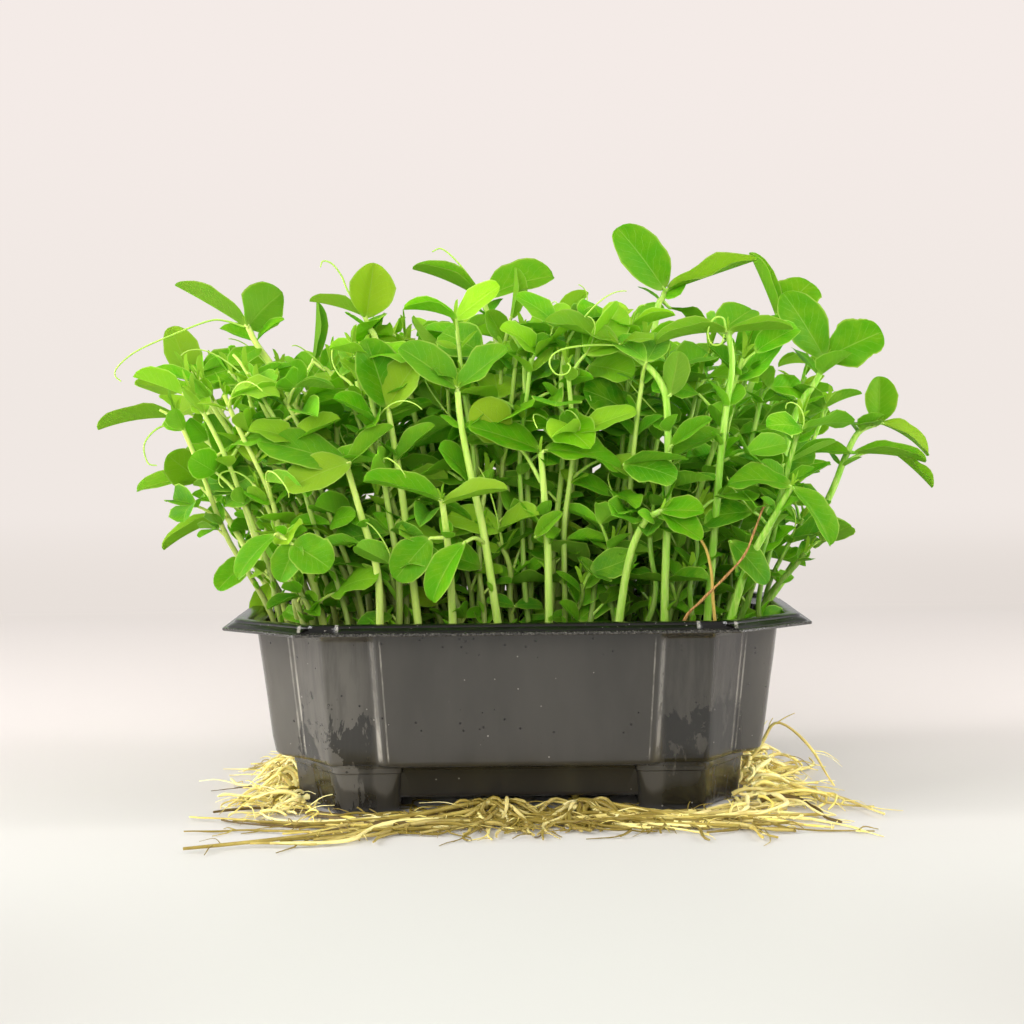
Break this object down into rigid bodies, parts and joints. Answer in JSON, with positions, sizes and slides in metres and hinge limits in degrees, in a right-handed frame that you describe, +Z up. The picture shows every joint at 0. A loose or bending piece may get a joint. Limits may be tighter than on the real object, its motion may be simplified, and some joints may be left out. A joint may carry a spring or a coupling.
{
  "type": "pea shoot microgreens tray",
  "caption": "Dark thermoformed growing tray on hollow feet, full of upright pea shoots rooted in a coir mat, with pale roots spread on the ground around the feet.",
  "frame": {"origin": "on the ground, under the middle of the whole object's box; the feet stand at height zero", "axes": "+X to the right along the tray's long side, +Y to the back, +Z up"},
  "size_m": [0.2836, 0.2006, 0.191],
  "materials": {
    "black_plastic": "satin",
    "coir": "matte",
    "shoot_green": "satin",
    "root_cream": "satin",
    "dry_straw": "matte"
  },
  "bodies": {
    "root": {"tray": "black_plastic", "growing_mat": "coir", "dry_stalk": "dry_straw", "pea_shoot_01": "shoot_green", "pea_shoot_02": "shoot_green", "pea_shoot_03": "shoot_green", "pea_shoot_04": "shoot_green", "pea_shoot_05": "shoot_green", "pea_shoot_06": "shoot_green", "pea_shoot_07": "shoot_green", "pea_shoot_08": "shoot_green", "pea_shoot_09": "shoot_green", "pea_shoot_10": "shoot_green", "pea_shoot_11": "shoot_green", "pea_shoot_12": "shoot_green", "pea_shoot_13": "shoot_green", "pea_shoot_14": "shoot_green", "pea_shoot_15": "shoot_green", "pea_shoot_16": "shoot_green", "pea_shoot_17": "shoot_green", "pea_shoot_18": "shoot_green", "pea_shoot_19": "shoot_green", "pea_shoot_20": "shoot_green", "pea_shoot_21": "shoot_green", "pea_shoot_22": "shoot_green", "pea_shoot_23": "shoot_green", "pea_shoot_24": "shoot_green", "pea_shoot_25": "shoot_green", "pea_shoot_26": "shoot_green", "pea_shoot_27": "shoot_green", "pea_shoot_28": "shoot_green", "pea_shoot_29": "shoot_green", "pea_shoot_30": "shoot_green", "pea_shoot_31": "shoot_green", "pea_shoot_32": "shoot_green", "pea_shoot_33": "shoot_green", "pea_shoot_34": "shoot_green", "pea_shoot_35": "shoot_green", "pea_shoot_36": "shoot_green", "pea_shoot_37": "shoot_green", "pea_shoot_38": "shoot_green", "pea_shoot_39": "shoot_green", "root_bundle_01": "root_cream", "root_bundle_02": "root_cream", "root_bundle_03": "root_cream", "root_bundle_04": "root_cream", "root_bundle_05": "root_cream", "root_bundle_06": "root_cream", "root_bundle_07": "root_cream", "root_bundle_08": "root_cream"}
  },
  "joints": []
}
